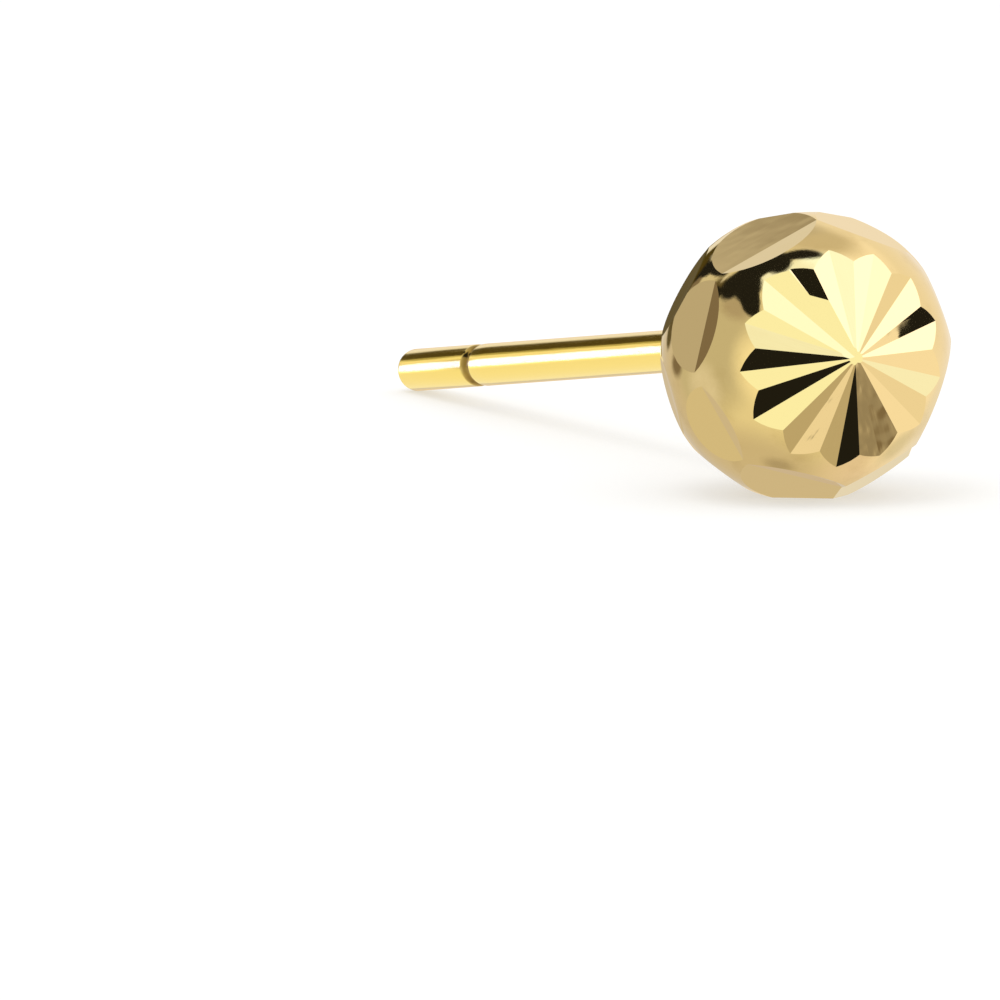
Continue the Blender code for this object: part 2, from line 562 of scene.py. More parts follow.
FRONT_LEAVES = (
    Leaf(
        turn=115.3,
        valley=67.7,
        depth=0.158 * MM,
        wide=70.0,
        bevel=80.0,
        chatter=0.6,
        sways=((0.0, 0.0, -0.02), TRUE),
    ),
    Leaf(turn=163.8, valley=69.4, depth=0.107 * MM, wide=71.0, bevel=83.0, chatter=0.4),
    Leaf(turn=208.3, valley=66.4, depth=0.088 * MM, wide=68.0, bevel=84.0),
    Leaf(turn=254.3, valley=66.0, depth=0.156 * MM, wide=68.0, bevel=84.0),
    Leaf(turn=296.8, valley=66.6, depth=0.166 * MM, wide=68.6, bevel=84.6),
    Leaf(turn=335.8, valley=64.0, depth=0.213 * MM, wide=69.2, bevel=85.2),
    Leaf(turn=20.8, valley=66.9, depth=0.098 * MM, wide=64.6, bevel=80.6),
    Leaf(turn=68.3, valley=68.0, depth=0.127 * MM, wide=69.0, bevel=83.0),
)

# Turn and depth of each leaf of the rear ring, but for the one that the ball lies on
REAR_LEAVES = (
    (86.9, 0.172 * MM),
    (148.4, 0.118 * MM),
    (194.2, 0.075 * MM),
    (233.8, 0.062 * MM),
    (319.4, 0.104 * MM),
    (359.3, 0.107 * MM),
    (44.8, 0.107 * MM),
)


# Finishes

@dataclass(frozen=True)
class BallGold:
    """Gold of the ball: a mopped sphere and mirror-bright cuts."""

    name: str = "ball_gold"
    colour: Colour = (0.90, 0.69, 0.30, 1.0)
    worn_colour: Colour = (0.76, 0.56, 0.22, 1.0)
    worn_gain: float = 3.0  # how fast haze above its average turns the sphere to that
    sphere_roughness: float = 0.06
    cut_roughness: float = 0.03
    haze_per_mm: float = 1.6  # patches of it on the sphere
    mop_per_mm: float = 5.0  # marks of the mop
    mop_height: float = 0.0011 * MM
    wave_height: float = 0.006 * MM  # of a cut whose chatter is 1
    waves_per_mm: tuple[float, float] = (4.0, 2.4)  # across a cut and along it
    lines_per_mm: tuple[float, float] = (40.0, 0.6)  # fine lines, in the same way
    line_share: float = 0.03  # of the wave height: how high those lines stand
    cut_step: float = 7.3  # from one cut's noise to the next cut's

    def material(self) -> bpy.types.Material:
        """Make the material.

        Returns:
            A material that reads the cut map and what the ball's faces carry.
        """
        material = bpy.data.materials.new(self.name)
        desk = cleared(material)
        cut = desk.value("ShaderNodeAttribute", {"attribute_name": "cut"}, None, "Fac")
        place = desk.add("ShaderNodeTexCoord").outputs["Object"]
        haze = desk.noise(place, scale=self.haze_per_mm / MM, detail=5.0, roughness=0.6)
        worn = (1.0 - cut) * (self.worn_gain * (haze - NOISE_MIDDLE)).at_least(0.0)
        sphere_roughness = self.sphere_roughness * (NOISE_MIDDLE + haze)
        desk.metal(
            desk.mixed(worn, self.colour, self.worn_colour),
            cut * self.cut_roughness + (1.0 - cut) * sphere_roughness,
            self._relief(desk, cut, place),
            MM,
        )
        return material

    def _relief(self, desk: Desk, cut: Value, place: bpy.types.NodeSocket) -> Value:
        """Raise the sway and chatter of the cuts, and the mop's marks on the sphere.

        Args:
            desk: the material's desk.
            cut: 1 on a cut and 0 on the sphere.
            place: where a point of the ball is.

        Returns:
            How high the relief stands, in millimetres.
        """
        cut_map = desk.add("ShaderNodeUVMap", {"uv_map": "cut_map"}).outputs[0]
        across, along, _ = desk.parts(cut_map)
        chatter, number, _ = desk.parts(self._carried(desk, "stroke"))
        slope_across, slope_along, bow = desk.parts(self._carried(desk, "sway"))
        sway = slope_across * across + (slope_along + 0.5 * bow * along) * along
        step = self.cut_step * number
        often, seldom = self.waves_per_mm
        waves = desk.noise(desk.joined(often * across, seldom * along, step), detail=1.0)
        often, seldom = self.lines_per_mm
        lines = desk.noise(desk.joined(often * across, seldom * along, step), detail=2.0)
        mop = desk.noise(place, scale=self.mop_per_mm / MM, detail=5.0, roughness=0.6)
        stroke = sway + self.wave_height / MM * (chatter * waves + self.line_share * lines)
        return cut * stroke + (1.0 - cut) * (self.mop_height / MM * mop)

    def _carried(self, desk: Desk, name: str) -> bpy.types.NodeSocket:
        """A vector that the faces carry."""
        return desk.add("ShaderNodeAttribute", {"attribute_name": name}).outputs["Vector"]


@dataclass(frozen=True)
class WireGold:
    """Gold of the ear post: drawn wire, yellower than the ball, with painted shade darkening its
    groove.
    """

    name: str = "wire_gold"
    colour: Colour = (0.95, 0.70, 0.20, 1.0)
    # painted shade: a darker gold that stands for the shade in the groove
    groove_shade_colour: Colour = (0.42, 0.27, 0.06, 1.0)
    shade_none_at: float = 1.0  # squared share of the groove's half width where the painted shade ends
    dark_at: float = 0.1  # and where it is full
    roughness: float = 0.13
    roughness_swing: float = 0.8  # share of the roughness that the drawn lines move
    lines_per_mm: tuple[float, float] = (60.0, 1.2)  # round the wire and along it
    line_height: float = 0.0006 * MM

    def material(self, groove: float, half_width: float) -> bpy.types.Material:
        """Make the material.

        Args:
            groove: how far along the wire its groove is.
            half_width: half the groove's width.

        Returns:
            A material with fine lines along the wire and painted shade in the groove.
        """
        material = bpy.data.materials.new(self.name)
        desk = cleared(material)
        wire_map = desk.add("ShaderNodeUVMap", {"uv_map": "wire_map"}).outputs[0]
        around, along, _ = desk.parts(wire_map)
        often, seldom = self.lines_per_mm
        lines = desk.noise(
            desk.joined(often * around, seldom * along), detail=3.0, roughness=0.55
        )
        # painted shade: the wire's colour darkens towards the middle of its groove
        off = (along - groove / MM) * (MM / half_width)
        groove_shade = desk.fade(off * off, self.shade_none_at, self.dark_at)
        desk.metal(
            desk.mixed(groove_shade, self.colour, self.groove_shade_colour),
            self.roughness * (1.0 + self.roughness_swing * (lines - NOISE_MIDDLE)),
            lines,
            self.line_height,
        )
        return material


# The ball

@dataclass(frozen=True)
class DiamondCutBall:
    """The ball with its rosette, the rosette's flat middle and both rings of leaves."""

    place: RestingPlace
    finish: BallGold
    radius: float = 2.0 * MM
    segments: int = 144
    rings: int = 72
    lean_side: float = -4.8  # the axis of the cuts leans this far off the post's line
    lean_down: float = -2.5
    flat_height: float = 0.98  # of the rosette's flat middle, as a share of the radius
    flat_side: float = 0.4  # of the block that cuts it, as a share of the radius
    rear_valley: float = 110.1  # angle from the axis to the valleys of the rear ring
    rear_wide: float = 105.5  # and to the normals of its wide faces
    rear_bevel_turn: float = 9.0  # from a wide face's normal to its bevel's
    rest_valley_offset: float = 22.0  # puts the rest leaf's valley past the ball
    wall_cosine: float = 0.99999  # least one between a flat face and its groove's wall

    def lean(self) -> Matrix:
        """Find how the cuts lean.

        Returns:
            Rotation from the axis of the cuts to the stud's frame.
        """
        leaning = Vector((
            math.tan(math.radians(self.lean_side)),
            math.tan(math.radians(self.lean_down)),
            1.0,
        ))
        return Vector((0.0, 0.0, 1.0)).rotation_difference(leaning).to_matrix()

    def rest_leaf(self) -> Leaf:
        """Turn the last rear leaf to the floor.

        Returns:
            The leaf whose wide face lies level on the table.
        """
        to_cuts = (self.place.turn().to_3x3() @ self.lean()).inverted()
        down = to_cuts @ Vector((0.0, 0.0, -1.0))
        wide = math.degrees(math.acos(down.z))
        offset = math.radians(self.rest_valley_offset)
        return Leaf(
            turn=math.degrees(math.atan2(down.y, down.x)),
            valley=wide + self.rest_valley_offset,
            depth=self.radius - self.place.ball_middle[2] / math.cos(offset),
            wide=wide,
            bevel=wide - self.rear_bevel_turn,
        )

    def grooves(self) -> list[Groove]:
        """Work out all the cuts.

        Returns:
            Every groove of the ball, petals first.
        """
        rear_bevel = self.rear_wide - self.rear_bevel_turn
        rear = [
            Leaf(turn, self.rear_valley, depth, self.rear_wide, rear_bevel)
            for turn, depth in REAR_LEAVES
        ]
        cuts = [*PETALS, *FRONT_LEAVES, *rear, self.rest_leaf()]
        lean = self.lean()
        return [cut.groove(self.radius, lean) for cut in cuts]

    def build(self) -> bpy.types.Object:
        """Cut, lay down and dress the ball.

        Returns:
            The ball, at the origin, with its place in its mesh.
        """
        grooves = self.grooves()
        coarser = 1
        mesh = self._cutting_tree().shape(
            "ball",
            self._groove_points(grooves),
            {
                "Radius": self.radius,
                "Segments": self.segments // coarser,
                "Rings": self.rings // coarser,
                "Flat Height": self.flat_height * self.radius,
                "Flat Side": self.flat_side * self.radius,
                "Cuts Lean": self.lean().to_euler(),
                "Finish": self.finish.material(),
            },
        )
        normals = self._map_cuts(mesh, grooves)
        self.place.lay_down(mesh)
        turned = normals @ np.array(self.place.turn().to_3x3()).T
        for polygon in mesh.polygons:
            polygon.use_smooth = True
        mesh.normals_split_custom_set(turned.tolist())
        return placed("ball", mesh)

    def _groove_points(self, grooves: Iterable[Groove]) -> bpy.types.Mesh:
        """Set out the wedges.

        Args:
            grooves: the grooves that the wedges cut.

        Returns:
            One point for each groove, with the turn and size of its wedge.
        """
        places, turns, sizes = [], [], []
        for groove in grooves:
            flank_a, flank_b = groove.flanks
            upwards = (flank_a + flank_b).normalized()
            sideways = (flank_a - flank_b).normalized()
            forwards = upwards.cross(sideways)
            basis = Matrix((sideways, forwards, upwards)).transposed()
            places.append(groove.corner)
            turns.append(basis.to_euler())
            sizes.append((
                groove.side * flank_a.dot(sideways),
                groove.half_length,
                groove.side * flank_a.dot(upwards),
            ))
        return points_mesh("grooves", places, {"wedge_turn": turns, "wedge_size": sizes})

    def _cutting_tree(self) -> FormTree:
        """Make the tree that cuts the sphere.

        Returns:
            A tree that takes a wedge off at each point, and a block off the front.
        """
        tree = FormTree("diamond_cutting")
        for name, kind in (
            ("Radius", "Float"),
            ("Segments", "Int"),
            ("Rings", "Int"),
            ("Flat Height", "Float"),
            ("Flat Side", "Float"),
            ("Cuts Lean", "Vector"),
            ("Finish", "Material"),
        ):
            tree.named(name, kind)
        desk = tree.desk
        sphere = desk.add(
            "GeometryNodeMeshUVSphere",
            None,
            {name: tree.given(name) for name in ("Segments", "Rings", "Radius")},
        )
        wedges = desk.add(
            "GeometryNodeInstanceOnPoints",
            None,
            {
                "Points": tree.given("Geometry"),
                "Instance": self._marked(desk, self._wedge(desk)),
                "Rotation": self._rotation(desk, self._point_vector(desk, "wedge_turn")),
                "Scale": self._point_vector(desk, "wedge_size"),
            },
        )
        cut_ball = desk.add(
            "GeometryNodeMeshBoolean",
            {"operation": "DIFFERENCE", "solver": "EXACT"},
            {
                "Mesh 1": sphere.outputs["Mesh"],
                "Mesh 2": [wedges.outputs[0], self._marked(desk, self._block(tree))],
            },
        )
        tree.close(cut_ball.outputs["Mesh"])
        return tree

    def _point_vector(self, desk: Desk, name: str) -> Value:
        """A vector that the points carry."""
        return desk.value(
            "GeometryNodeInputNamedAttribute", {"data_type": "FLOAT_VECTOR"}, {"Name": name}
        )

    def _rotation(self, desk: Desk, angles: Any) -> Value:
        """The rotation by a vector of angles."""
        return desk.value("FunctionNodeEulerToRotation", None, {0: angles})

    def _wedge(self, desk: Desk) -> bpy.types.NodeSocket:
        """Make a square bar that stands on one edge.

        Args:
            desk: the tree's desk.

        Returns:
            The bar, whose lowest edge is the valley and runs from y = -1 to 1.
        """
        bar = desk.add("GeometryNodeMeshCube", None, {"Size": (1.0, 1.0, 1.0)})
        on_edge = desk.moved(bar.outputs["Mesh"], {"Rotation": (0.0, math.pi / 4, 0.0)})
        diagonal = math.sqrt(2.0)
        return desk.moved(
            on_edge, {"Scale": (diagonal, 2.0, diagonal), "Translation": (0.0, 0.0, 1.0)}
        )

    def _block(self, tree: FormTree) -> bpy.types.NodeSocket:
        """Make the block that takes the rosette's middle off flat.

        Args:
            tree: the cutting tree.

        Returns:
            The block, in front of the flat and turned with the cuts.
        """
        desk = tree.desk
        side = Value(desk, tree.given("Flat Side"))
        height = side / 2.0 + tree.given("Flat Height")
        size = desk.joined(side, side, side)
        block = desk.add("GeometryNodeMeshCube", None, {"Size": size}).outputs["Mesh"]
        lifted = desk.moved(block, {"Translation": desk.joined(0.0, 0.0, height)})
        lean = self._rotation(desk, tree.given("Cuts Lean"))
        return desk.moved(lifted, {"Rotation": lean})

    def _marked(self, desk: Desk, geometry: bpy.types.NodeSocket) -> bpy.types.NodeSocket:
        """Mark a tool's faces, so that the faces it cuts can be told from the sphere."""
        return desk.add(
            "GeometryNodeStoreNamedAttribute",
            {"data_type": "FLOAT", "domain": "FACE"},
            {"Geometry": geometry, "Name": "cut", "Value": 1.0},
        ).outputs[0]

    def _map_cuts(self, mesh: bpy.types.Mesh, grooves: Sequence[Groove]) -> np.ndarray:
        """Write each cut's stroke, sway and map, and find the exact normals.

        Args:
            mesh: the cut ball, in the stud's frame.
            grooves: the grooves that were cut.

        Returns:
            One normal for each face corner: the sphere's own, or its flat cut's.
        """
        cut = np.zeros(len(mesh.polygons), np.float32)
        mesh.attributes["cut"].data.foreach_get("value", cut)
        places = np.array([vertex.co for vertex in mesh.vertices])
        normals = np.zeros((len(mesh.loops), 3))
        spots = np.zeros((len(mesh.loops), 2), np.float32)
        strokes = np.zeros((len(mesh.polygons), 3), np.float32)
        sways = np.zeros((len(mesh.polygons), 3), np.float32)
        walls = [
            (normal, sway, groove, number)
            for number, groove in enumerate(grooves)
            for normal, sway in zip(groove.normals(), groove.sways)
        ]
        for polygon in mesh.polygons:
            loops = list(polygon.loop_indices)
            corners = places[list(polygon.vertices)]
            if not cut[polygon.index]:
                long = np.linalg.norm(corners, axis=1, keepdims=True)
                normals[loops] = corners / long
                continue
            normal = polygon.normal
            normals[loops] = normal
            wall, sway, groove, number = max(walls, key=lambda one: one[0].dot(normal))
            if wall.dot(normal) < self.wall_cosine:
                continue
            strokes[polygon.index] = (groove.chatter, number, 0.0)
            sways[polygon.index] = sway
            across = np.array(normal.cross(groove.along))
            from_valley = corners - np.array(groove.corner)
            spots[loops, 0] = from_valley @ across / MM
            spots[loops, 1] = from_valley @ np.array(groove.along) / MM
        cut_map = mesh.uv_layers.new(name="cut_map")
        cut_map.data.foreach_set("uv", spots.ravel())
        for name, values in (("stroke", strokes), ("sway", sways)):
            carried = mesh.attributes.new(name, "FLOAT_VECTOR", "FACE")
            carried.data.foreach_set("vector", values.ravel())
        return normals


# The ear post

@dataclass(frozen=True)
class EarPost:
    """A straight wire with a friction groove and a rounded end."""

    place: RestingPlace
    finish: WireGold
    ball_radius: float = 2.0 * MM
    radius: float = 0.295 * MM
    reach: float = 11.05 * MM  # behind the ball
    root: float = 1.0 * MM  # where the wire starts, behind the ball's middle
    offset: float = 0.2 * MM  # of the wire's line above the ball's middle
    sides: int = 96
    groove_from_end: float = 2.35 * MM
    groove_half_width: float = 0.15 * MM
    groove_depth: float = 0.05 * MM
    groove_steps: int = 20
    end_rounding: float = 0.13 * MM
    end_steps: int = 12
    barrel_steps: int = 24  # of the straight stretch up to the groove

    def total(self) -> float:
        """How far the post's end is from the ball's middle."""
        return self.ball_radius + self.reach

    def groove(self) -> float:
        """How far the groove is from the ball's middle."""
        return self.total() - self.groove_from_end

    def profile(self) -> list[tuple[float, float]]:
        """Draw the wire's outline from its root to its end.

        Returns:
            Distance from the ball's middle and radius, for each point.
        """
        before = self.groove() - self.groove_half_width
        points = [
            (self.root + (before - self.root) * step / self.barrel_steps, self.radius)
            for step in range(self.barrel_steps)
        ]
        for step in range(self.groove_steps + 1):
            across = 2.0 * step / self.groove_steps - 1.0
            dip = self.groove_depth * (1.0 + math.cos(math.pi * across)) / 2
            points.append((self.groove() + across * self.groove_half_width, self.radius - dip))
        for step in range(self.end_steps + 1):
            angle = math.pi / 2 * step / self.end_steps
            along = self.total() - self.end_rounding * (1.0 - math.sin(angle))
            points.append((along, self.radius - self.end_rounding * (1.0 - math.cos(angle))))
        return points

    def build(self) -> bpy.types.Object:
        """Turn, lay down and dress the post.

        Returns:
            The post, at the origin, with its place in its mesh.
        """
        profile = self.profile()
        start = points_mesh(
            "post_line",
            [Vector((0.0, self.offset, -along)) for along, _ in profile],
            {"wire_radius": [radius for _, radius in profile]},
        )
        start.edges.add(len(profile) - 1)
        pairs = [(here, here + 1) for here in range(len(profile) - 1)]
        start.edges.foreach_set("vertices", np.array(pairs).ravel())
        finish = self.finish.material(self.groove(), self.groove_half_width)
        mesh = self._turning_tree().shape(
            "post", start, {"Sides": self.sides, "Finish": finish}
        )
        self._map_wire(mesh)
        self.place.lay_down(mesh)
        return placed("post", mesh)

    def _turning_tree(self) -> FormTree:
        """Make the tree that turns the wire.

        Returns:
            A tree that turns the profile about the post's own line.
        """
        tree = FormTree("post_turning")
        tree.named("Sides", "Int")
        tree.named("Finish", "Material")
        desk = tree.desk
        line = desk.add("GeometryNodeMeshToCurve", None, {0: tree.given("Geometry")})
        radius = desk.value(
            "GeometryNodeInputNamedAttribute", {"data_type": "FLOAT"}, {"Name": "wire_radius"}
        )
        ring = desk.add(
            "GeometryNodeCurvePrimitiveCircle",
            None,
            {"Resolution": tree.given("Sides"), "Radius": 1.0},
        )
        turned = desk.add(
            "GeometryNodeCurveToMesh",
            None,
            {
                "Curve": line.outputs[0],
                "Profile Curve": ring.outputs["Curve"],
                "Scale": radius,
                "Fill Caps": True,
            },
        )
        smooth = desk.add(
            "GeometryNodeSetShadeSmooth", None, {"Geometry": turned.outputs[0]}
        )
        tree.close(smooth.outputs[0])
        return tree

    def _map_wire(self, mesh: bpy.types.Mesh) -> None:
        """Write a map of millimetres round the wire and along it.

        Args:
            mesh: the turned post, in the stud's frame.
        """
        wire_map = mesh.uv_layers.new(name="wire_map")
        for polygon in mesh.polygons:
            angles = []
            for corner in polygon.vertices:
                x, y, _ = mesh.vertices[corner].co
                angles.append(math.atan2(y - self.offset, x))
            # A side face, not an end cap, across the line where the angle starts anew
            if max(angles) - min(angles) > math.pi and len(angles) == 4:
                angles = [a + 2.0 * math.pi if a < 0.0 else a for a in angles]
            for loop, corner, angle in zip(polygon.loop_indices, polygon.vertices, angles):
                along = -mesh.vertices[corner].co.z / MM
                wire_map.data[loop].uv = (angle * self.radius / MM, along)


# The studio

@dataclass(frozen=True)
class PhotoCamera:
    """A long lens that looks at the stud from the front and the left."""

    place: RestingPlace
    beta: float = 24.646  # turn from the stud's front towards its left
    elevation: float = 7.19
    distance: float = 0.5
    lens: float = 1313.99  # millimetres, as is the sensor
    sensor: float = 36.0
    aim_right: float = -4.1959 * MM  # from the ball's middle to the picture's
    aim_up: float = -1.9767 * MM
    clip: tuple[float, float] = (0.01, 10.0)  # nearest and farthest that it sees

    def axes(self) -> tuple[Vector, Vector, Vector]:
        """Find how the camera is turned.

        Returns:
            Unit vectors to the picture's right, up, and back to the lens.
        """
        beta, rise = math.radians(self.beta), math.radians(self.elevation)
        right = Vector((math.cos(beta), -math.sin(beta), 0.0))
        ahead = Vector((math.sin(beta), math.cos(beta), 0.0))
        up = math.cos(rise) * Vector((0.0, 0.0, 1.0)) + math.sin(rise) * ahead
        return right, up, right.cross(up)

    def direction(self, polar: float, turn: float) -> Vector:
        """Find a direction by where it lies about the lens.

        Args:
            polar: its angle from the direction to the lens.
            turn: its turn about that, from the picture's right.

        Returns:
            The unit vector, in the world.
        """
        spot = axis_point(polar, turn)
        right, up, back = self.axes()
        return spot.x * right + spot.y * up + spot.z * back

    def build(self) -> bpy.types.Object:
        """Set the camera up and make it the scene's.

        Returns:
            The camera.
        """
        right, up, back = self.axes()
        data = bpy.data.cameras.new("photo_camera")
        data.lens = self.lens
        data.sensor_width = self.sensor
        data.clip_start, data.clip_end = self.clip
        camera = placed("photo_camera", data)
        aim = Vector(self.place.ball_middle) + self.aim_right * right + self.aim_up * up
        turn = Matrix((right, up, back)).transposed().to_4x4()
        camera.matrix_world = Matrix.Translation(aim + self.distance * back) @ turn
        bpy.context.scene.camera = camera
        return camera


class Cloth(Enum):
    """The cloths and boards of the tent, by how brightly each shines in red, green and blue."""

    LAMP = (1.56, 1.61, 2.11)
    SOFTBOX = (1.16, 1.42, 1.81)
    COOL_SILK = (1.06, 1.2, 1.42)
    WARM_SILK = (1.09, 1.22, 1.2)
    WHITE = (1.05, 1.02, 1.08)
    CREAM = (1.05, 1.03, 0.92)
    PALE = (0.95, 0.92, 0.94)
    COOL_PALE = (0.92, 0.93, 1.07)
    ROSE = (0.85, 0.78, 0.83)
    DOVE = (0.79, 0.79, 0.84)
    LINEN = (0.67, 0.63, 0.6)
    SAND = (0.62, 0.61, 0.57)
    STONE = (0.55, 0.53, 0.54)
    KHAKI = (0.56, 0.52, 0.46)
    TAUPE = (0.48, 0.44, 0.41)
    CLAY = (0.34, 0.31, 0.29)
    BROWN = (0.23, 0.19, 0.15)
    UMBER = (0.13, 0.11, 0.06)
    SOOT = (0.08, 0.06, 0.012)
    BLACK = (0.016, 0.016, 0.016)
    AMBER = (0.9, 0.72, 0.45)
    BRONZE = (0.62, 0.5, 0.3)


@dataclass(frozen=True)
class Card:
    """A soft-edged oval of cloth or board on the inside of the light tent."""

    polar: float  # angle from the lens to the card's middle
    turn: float  # turn of its middle about the lens
    high: float  # half its extent away from the lens
    wide: float  # half its extent round the lens
    cloth: Cloth
    soft: float = 0.5
    roll: float = 0.0


CARDS = (
    # Broad fields to the left and below
    Card(92, 176, 60, 38, Cloth.SAND, 0.55),
    Card(40, 196, 19, 26, Cloth.CREAM, 0.6),
    Card(110, 250, 34, 32, Cloth.LINEN, 0.55),
    Card(95, 198, 15, 13, Cloth.DOVE, 0.6),
    Card(150, 228, 24, 36, Cloth.LINEN, 0.6),
    Card(142, 198, 18, 16, Cloth.LINEN, 0.5),
    Card(102, 256, 7, 7, Cloth.TAUPE, 0.7),
    # Broad fields to the right and behind, for the pale limb
    Card(110, 303, 30, 24, Cloth.ROSE, 0.6),
    Card(122, 8, 42, 58, Cloth.WHITE, 0.45),
    Card(118, 24, 8, 24, Cloth.WHITE, 0.6),
    Card(136, 58, 34, 45, Cloth.PALE, 0.45),
    Card(141, 330, 16, 16, Cloth.COOL_PALE, 0.5),
    Card(123, 315, 9, 8, Cloth.DOVE, 0.6),
    # Lights above and to the right, for the brightest petals
    Card(68, 50, 40, 46, Cloth.SOFTBOX, 0.25),
    Card(78, 36, 26, 34, Cloth.LAMP, 0.35),
    Card(71, 104, 9, 20, Cloth.COOL_SILK, 0.4),
    Card(106, 68, 15, 30, Cloth.WHITE, 0.35),
    # Above and behind, for the leaf at the top left
    Card(106, 84, 16, 18, Cloth.LINEN, 0.5),
    Card(121, 108, 14, 20, Cloth.STONE, 0.4),
    Card(123.4, 107, 2.2, 2.2, Cloth.CLAY, 0.9),
    Card(142, 112, 8, 14, Cloth.DOVE, 0.4),
    # Silks for the other petals and the rosette's flat middle
    Card(18, 190, 22, 24, Cloth.WARM_SILK, 0.35),
    Card(23, 112, 12, 14, Cloth.WARM_SILK, 0.3),
    Card(40, 357, 8, 8, Cloth.WARM_SILK, 0.4),
    Card(88, 332, 10, 9, Cloth.WHITE, 0.3),
    Card(78, 314, 6, 7, Cloth.PALE, 0.35),
    Card(82, 320.3, 2.4, 2.4, Cloth.KHAKI, 0.5),
    Card(31, 254, 7, 8, Cloth.PALE, 0.3),
    Card(94, 8, 6, 9, Cloth.PALE, 0.5),
    Card(91.2, 11.5, 2.6, 2.6, Cloth.COOL_SILK, 0.3),
    # Boards for the mottled petal and its dull neighbours
    Card(65, 299, 12, 9, Cloth.TAUPE, 0.5),
    Card(62.6, 297, 4, 4, Cloth.CLAY, 0.9),
    Card(59, 298.5, 2.6, 3.2, Cloth.BROWN, 0.5),
    Card(69.5, 304, 3, 3, Cloth.KHAKI, 0.3),
    Card(82, 331, 5, 6, Cloth.TAUPE, 0.5),
    Card(82, 332, 2.6, 2.6, Cloth.CLAY, 0.8),
    # Black boards for the dark petals
    Card(45, 278, 16, 14, Cloth.BLACK, 0.1, -8.0),
    Card(36, 263, 4, 7, Cloth.BLACK, 0.15),
    Card(22.6, 104.3, 3, 3, Cloth.BLACK, 0.2),
    # Boards for the leaf at the left, and for the sphere beside the rosette
    Card(103, 165, 8, 6, Cloth.STONE, 0.5),
    Card(72, 146, 15, 7, Cloth.TAUPE, 0.6),
    Card(99, 142, 8, 7, Cloth.UMBER, 0.4),
    # The dark band over the sphere's top left
    Card(87.8, 93, 5.3, 13, Cloth.BLACK, 0.3),
    Card(83.5, 107, 11, 8.5, Cloth.BLACK, 0.2),
    Card(87, 120, 10.5, 18, Cloth.BLACK, 0.12),
    Card(67, 135, 16.5, 7.2, Cloth.BLACK, 0.12, -20.0),
    Card(77, 130.5, 14, 10, Cloth.BLACK, 0.15, -10.0),
    Card(88, 136, 10, 10, Cloth.BLACK, 0.2),
    Card(98, 146, 6, 5, Cloth.BLACK, 0.2),
    Card(100.8, 135.5, 1.6, 3.2, Cloth.DOVE, 0.6),
    Card(117, 134, 14.5, 4.6, Cloth.BLACK, 0.15),
    Card(130, 145, 5, 4, Cloth.BROWN, 0.4),
    Card(129, 138.5, 9, 3.6, Cloth.BLACK, 0.2),
    Card(139, 141, 9, 5, Cloth.BLACK, 0.2),
    # Behind the stud, for the post and for the rim at the left
    Card(180, 0, 12, 12, Cloth.AMBER, 0.5),
    Card(174, 196, 4, 4, Cloth.BRONZE, 0.5),
    Card(143, 142, 7, 6, Cloth.SOOT, 0.35),
    Card(148, 132, 6, 6, Cloth.SOOT, 0.4),
    Card(138, 150, 5, 4.5, Cloth.SOOT, 0.35),
    Card(157, 151, 8, 6, Cloth.UMBER, 0.25),
    Card(172.5, 150, 4, 4, Cloth.SOOT, 0.25),
    Card(126, 184, 8, 4, Cloth.BROWN, 0.5),
    Card(143, 169.5, 6, 4.5, Cloth.UMBER, 0.3),
    Card(127, 166, 5, 5, Cloth.BROWN, 0.3),
    # A small black board for the dark tip of one petal
    Card(94, 350.6, 2.2, 2.2, Cloth.BLACK, 0.2),
)


@dataclass(frozen=True)
class LightTent:
    """The white tent round the table, with the cards that the gold mirrors."""

    camera: PhotoCamera
    cloth: Colour = (0.87, 0.85, 0.75, 1.0)  # the bare tent, as the gold mirrors it
    daylight: Colour = (1.0, 1.0, 1.0, 1.0)  # the backdrop, and what lights the table
    least_depth: float = 0.02  # of a ray towards a card, under which it misses it

    def build(self) -> bpy.types.World:
        """Make the world.

        Returns:
            A world whose mirror image is the tent, and whose light is even.
        """
        world = bpy.data.worlds.new("light_tent")
        bpy.context.scene.world = world
        desk = cleared(world)
        ray = desk.add("ShaderNodeTexCoord").outputs["Generated"]
        tent: Any = self.cloth
        for card in CARDS:
            tent = desk.mixed(self._mask(desk, ray, card), tent, (*card.cloth.value, 1.0))
        glossy = desk.add("ShaderNodeLightPath").outputs["Is Glossy Ray"]
        even = desk.add("ShaderNodeBackground", None, {"Color": self.daylight})
        mirrored = desk.add("ShaderNodeBackground", None, {"Color": tent})
        whole = desk.add(
            "ShaderNodeMixShader",
            None,
            {0: glossy, 1: even.outputs[0], 2: mirrored.outputs[0]},
        )
        desk.add("ShaderNodeOutputWorld", None, {"Surface": whole.outputs[0]})
        return world

    def _mask(self, desk: Desk, ray: bpy.types.NodeSocket, card: Card) -> Value:
        """Find how much of a card a ray meets.

        Args:
            desk: the world's desk.
            ray: the ray's direction.
            card: the card.

        Returns:
            The share, from 0 beside the card to 1 in its middle.
        """
        middle = self.camera.direction(card.polar, card.turn)
        outwards = self.camera.direction(card.polar + 90.0, card.turn)
        round_lens = middle.cross(outwards)
        roll = math.radians(card.roll)
        high_axis = math.cos(roll) * outwards + math.sin(roll) * round_lens
        wide_axis = math.cos(roll) * round_lens - math.sin(roll) * outwards
        depth = desk.dot(ray, middle)
        near = depth.at_least(self.least_depth)
        high = desk.dot(ray, high_axis / math.tan(math.radians(card.high))) / near
        wide = desk.dot(ray, wide_axis / math.tan(math.radians(card.wide))) / near
        far_out = (high * high + wide * wide) ** 0.5
        inside = desk.fade(far_out, 1.0 + card.soft, 1.0 - card.soft)
        return inside * depth.over(self.least_depth)


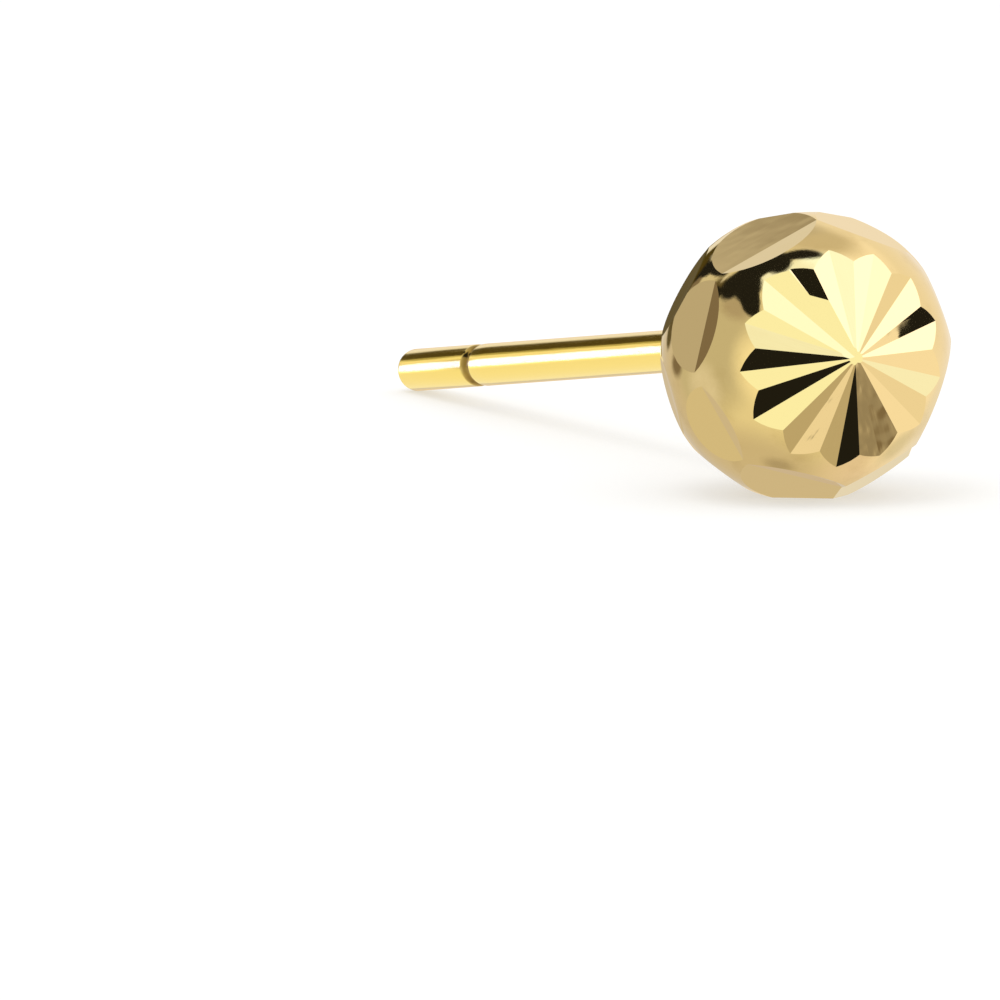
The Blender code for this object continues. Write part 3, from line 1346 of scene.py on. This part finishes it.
@dataclass(frozen=True)
class PaleTable:
    """The pale surface that the stud lies on."""

    half_side: float = 3.0
    colour: Colour = (0.5, 0.5, 0.498, 1.0)
    glow: float = 1.0  # its own light, which keeps the stud's shadow faint

    def build(self) -> bpy.types.Object:
        """Make the table's top.

        Returns:
            The table, which no glossy ray sees.
        """
        material = bpy.data.materials.new("pale_table")
        desk = cleared(material)
        lit = desk.add("ShaderNodeBsdfDiffuse", None, {"Color": self.colour})
        glow = desk.add(
            "ShaderNodeEmission", None, {"Color": self.colour, "Strength": self.glow}
        )
        both = desk.add("ShaderNodeAddShader", None, {0: lit.outputs[0], 1: glow.outputs[0]})
        desk.add("ShaderNodeOutputMaterial", None, {"Surface": both.outputs[0]})
        half = self.half_side
        corners = [(-half, -half, 0.0), (half, -half, 0.0), (half, half, 0.0), (-half, half, 0.0)]
        mesh = bpy.data.meshes.new("pale_table")
        mesh.from_pydata(corners, [], [(0, 1, 2, 3)])
        mesh.materials.append(material)
        table = placed("pale_table", mesh)
        table.visible_glossy = False
        return table


def hang(
    name: str, data: bpy.types.Light, away: Vector, distance: float
) -> bpy.types.Object:
    """Hang a lamp so that it shines at the origin.

    Args:
        name: the lamp's name.
        data: its shape, colour and power.
        away: unit vector from the origin to the lamp.
        distance: how far away it hangs.

    Returns:
        The lamp.
    """
    lamp = placed(name, data)
    turn = away.to_track_quat("Z", "Y").to_matrix().to_4x4()
    lamp.matrix_world = Matrix.Translation(distance * away) @ turn
    return lamp


@dataclass(frozen=True)
class SoftLamp:
    """A soft lamp over the table, which gives the stud its shadow."""

    towards: Triple = (-0.25, -0.15, 1.0)
    distance: float = 0.12
    side: float = 0.05
    power: float = 0.02

    def build(self) -> bpy.types.Object:
        """Hang the lamp.

        Returns:
            The lamp, which no glossy ray sees.
        """
        data = bpy.data.lights.new("soft_lamp", "AREA")
        data.shape = "SQUARE"
        data.size = self.side
        data.energy = self.power
        lamp = hang("soft_lamp", data, Vector(self.towards).normalized(), self.distance)
        lamp.visible_glossy = False
        return lamp


@dataclass(frozen=True)
class WireLamp:
    """A round lamp that lights the wire alone, as a strip of light along it."""

    polar: float  # angle from the lens to the lamp
    turn: float  # turn of the lamp about the lens
    half_width: float  # angle from the lamp's middle to its edge
    radiance: Triple
    distance: float = 0.2

    def build(self, camera: PhotoCamera, wire: bpy.types.Object) -> bpy.types.Object:
        """Hang the lamp and link it to the wire.

        Args:
            camera: the camera that the lamp's angles are measured from.
            wire: the piece that it lights.

        Returns:
            The lamp, which the camera doesn't see.
        """
        data = bpy.data.lights.new("wire_lamp", "AREA")
        data.shape = "DISK"
        data.size = 2.0 * self.distance * math.tan(math.radians(self.half_width))
        strongest = max(self.radiance)
        data.color = [level / strongest for level in self.radiance]
        area = math.pi * (data.size / 2.0) ** 2
        data.energy = math.pi * strongest * area
        away = camera.direction(self.polar, self.turn)
        lamp = hang("wire_lamp", data, away, self.distance)
        lamp.visible_camera = False
        lit = bpy.data.collections.new("lit_by_wire_lamp")
        lit.objects.link(wire)
        lamp.light_linking.receiver_collection = lit
        lamp.light_linking.blocker_collection = lit
        return lamp


WIRE_LAMPS = (
    WireLamp(polar=131.3, turn=176.0, half_width=8.0, radiance=(0.80, 1.10, 3.60)),
    WireLamp(polar=133.0, turn=170.0, half_width=15.0, radiance=(0.40, 0.38, 0.15)),
    WireLamp(polar=140.0, turn=216.0, half_width=24.0, radiance=(0.34, 0.38, 0.22)),
)


def carry(piece: bpy.types.Object) -> None:
    """Tie a piece to the frame and report it.

    Args:
        piece: the finished piece.
    """
    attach(piece, "root")
    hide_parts("ball_stud")
    LOG.info("%s: %d faces", piece.name, len(piece.data.polygons))


def main() -> None:
    """Build the stud and its studio, piece by piece."""
    logging.basicConfig(level=logging.INFO, format="%(name)s %(message)s")
    view = bpy.context.scene.view_settings
    view.view_transform = "Standard"
    view.look = "None"
    place = RestingPlace()
    camera = PhotoCamera(place)
    camera.build()
    carry(DiamondCutBall(place, BallGold()).build())
    post = EarPost(place, WireGold()).build()
    carry(post)
    PaleTable().build()
    LightTent(camera).build()
    SoftLamp().build()
    for lamp in WIRE_LAMPS:
        lamp.build(camera, post)


if __name__ == "__main__":
    main()
